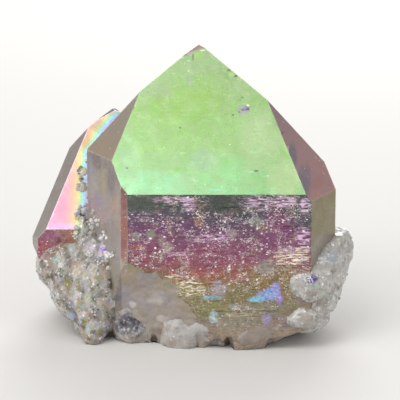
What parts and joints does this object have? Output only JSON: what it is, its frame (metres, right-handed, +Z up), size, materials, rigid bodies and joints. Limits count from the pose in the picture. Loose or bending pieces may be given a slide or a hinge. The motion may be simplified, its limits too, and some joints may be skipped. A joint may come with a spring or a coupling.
{
  "type": "coated quartz crystal cluster",
  "caption": "Stubby quartz crystal with a smaller crystal at its side, druse and a frosted crust round its foot, and a thin iridescent coat on its faces.",
  "frame": {"origin": "middle of the footprint of the whole specimen, on the flat it rests on", "axes": "+Z up along the main crystal's length, -Y out of its widest side face, +X towards the frosted crust"},
  "size_m": [0.0478, 0.033, 0.0422],
  "materials": {
    "coated_quartz": "glossy milky quartz with a thin iridescent metal film"
  },
  "bodies": {
    "root": {"quartz_cluster": "coated_quartz"}
  },
  "joints": []
}
